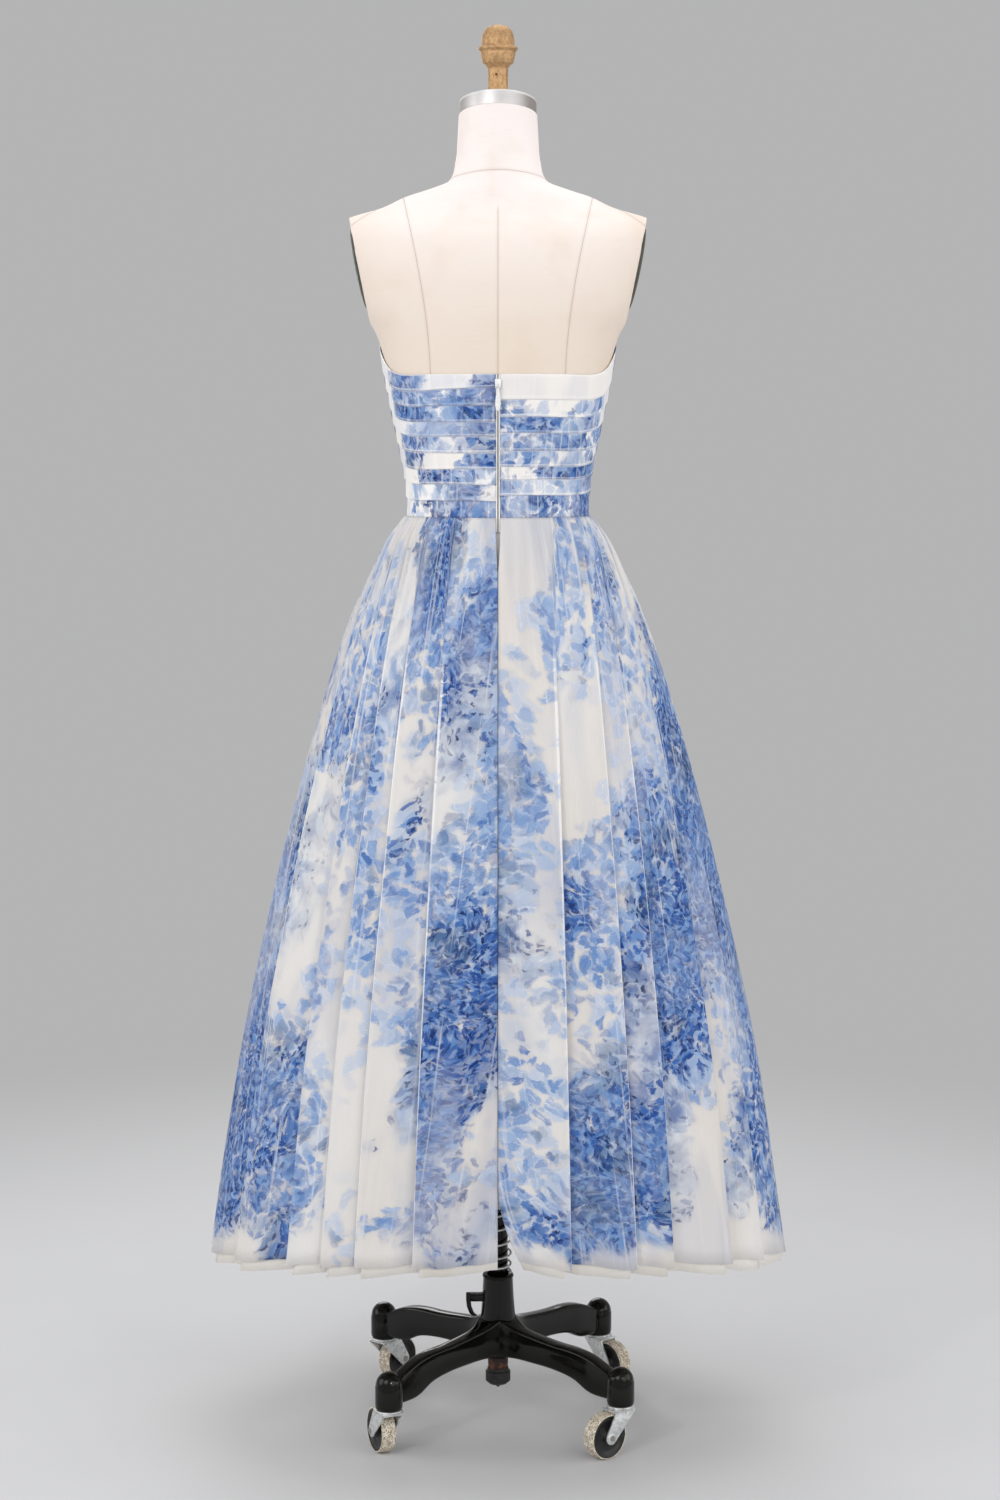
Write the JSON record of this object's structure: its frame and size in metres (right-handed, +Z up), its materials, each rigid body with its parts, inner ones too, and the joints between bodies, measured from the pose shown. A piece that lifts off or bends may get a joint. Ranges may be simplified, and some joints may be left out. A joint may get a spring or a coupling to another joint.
{
  "type": "strapless midi dress on a limbless dress form with a rolling stand",
  "caption": "Strapless midi dress with a pleated bodice, back zip and full gathered print skirt, on a limbless dress form over a rolling stand.",
  "frame": {"origin": "on the floor under the post, at the middle of the skirt's outline", "axes": "+Z up along the post, -Y out of the back of the dress with its zip, +Y out of its front, +X to the wearer's right as seen from behind it"},
  "size_m": [0.7516, 0.5374, 1.8215],
  "materials": {
    "printed_tulle": "sheer net printed with blue foliage over ivory",
    "underskirt_cloth": "plain matt ivory cloth",
    "lining_cloth": "plain matt white cloth",
    "form_linen": "matt ivory linen cover over a hollow moulded form",
    "board": "matt board",
    "zip_white": "white plastic",
    "brushed_steel": "brushed",
    "aged_brass": "aged, speckled",
    "dark_plate": "dark satin",
    "black_enamel": "gloss black enamel",
    "zinc": "zinc plated steel",
    "black_rubber": "matt",
    "wheel": "black disc with a worn tread"
  },
  "bodies": {
    "stand": {"base": "black_enamel", "sleeve_foot": "black_rubber", "post_spring": "zinc"},
    "post": {"post": "black_enamel", "post_collar": "black_enamel"},
    "form": {"form_torso": "form_linen", "form_board": "board", "post_socket": "black_enamel", "neck_ring": "brushed_steel", "neck_knob": "aged_brass", "arm_plate_left": "dark_plate", "arm_plate_right": "dark_plate", "bodice_front": "printed_tulle", "bodice_back_left": "printed_tulle", "bodice_back_right": "printed_tulle", "skirt_front": "printed_tulle", "skirt_back_left": "printed_tulle", "skirt_back_right": "printed_tulle", "underskirt_front": "underskirt_cloth", "underskirt_back_left": "underskirt_cloth", "underskirt_back_right": "underskirt_cloth", "lining": "lining_cloth", "zip_coil": "zip_white", "zip_slider": "zip_white"},
    "zip_pull": {"zip_pull": "zip_white"},
    "height_lever": {"height_lever": "black_enamel"},
    "castor_back_left": {"castor_fork_back_left": "zinc"},
    "wheel_back_left": {"castor_wheel_back_left": "wheel"},
    "castor_back_right": {"castor_fork_back_right": "zinc"},
    "wheel_back_right": {"castor_wheel_back_right": "wheel"},
    "castor_front_right": {"castor_fork_front_right": "zinc"},
    "wheel_front_right": {"castor_wheel_front_right": "wheel"},
    "castor_front_left": {"castor_fork_front_left": "zinc"},
    "wheel_front_left": {"castor_wheel_front_left": "wheel"}
  },
  "joints": [
    {"name": "post_rise", "type": "slide", "parent": "stand", "child": "post", "axis": [0, 0, 1], "range_m": [0, 0.06]},
    {"name": "form_turn", "type": "hinge", "parent": "post", "child": "form", "pos_m": [0, 0, 0.9], "axis": [0, 0, 1], "continuous": true},
    {"name": "zip_pull_swing", "type": "hinge", "parent": "form", "child": "zip_pull", "pos_m": [0, -0.11326, 1.3513], "axis": [1, 0, 0], "range_deg": [-150, 0]},
    {"name": "lever_swing", "type": "hinge", "parent": "stand", "child": "height_lever", "pos_m": [-0.0368, 0, 0.164], "axis": [0, 1, 0], "range_deg": [0, 20]},
    {"name": "swivel_back_left", "type": "hinge", "parent": "stand", "child": "castor_back_left", "pos_m": [-0.13736, -0.15526, 0.07], "axis": [0, 0, 1], "continuous": true},
    {"name": "roll_back_left", "type": "hinge", "parent": "castor_back_left", "child": "wheel_back_left", "pos_m": [-0.14791, -0.1304, 0.0285], "axis": [-0.9205, -0.3907, 0], "continuous": true},
    {"name": "swivel_back_right", "type": "hinge", "parent": "stand", "child": "castor_back_right", "pos_m": [0.15526, -0.13736, 0.07], "axis": [0, 0, 1], "continuous": true},
    {"name": "roll_back_right", "type": "hinge", "parent": "castor_back_right", "child": "wheel_back_right", "pos_m": [0.13458, -0.15472, 0.0285], "axis": [0.6428, -0.766, 0], "continuous": true},
    {"name": "swivel_front_right", "type": "hinge", "parent": "stand", "child": "castor_front_right", "pos_m": [0.13736, 0.15526, 0.07], "axis": [0, 0, 1], "continuous": true},
    {"name": "roll_front_right", "type": "hinge", "parent": "castor_front_right", "child": "wheel_front_right", "pos_m": [0.1549, 0.13473, 0.0285], "axis": [0.7604, 0.6494, 0], "continuous": true},
    {"name": "swivel_front_left", "type": "hinge", "parent": "stand", "child": "castor_front_left", "pos_m": [-0.15526, 0.13736, 0.07], "axis": [0, 0, 1], "continuous": true},
    {"name": "roll_front_left", "type": "hinge", "parent": "castor_front_left", "child": "wheel_front_left", "pos_m": [-0.13772, 0.15789, 0.0285], "axis": [-0.7604, 0.6494, 0], "continuous": true}
  ]
}
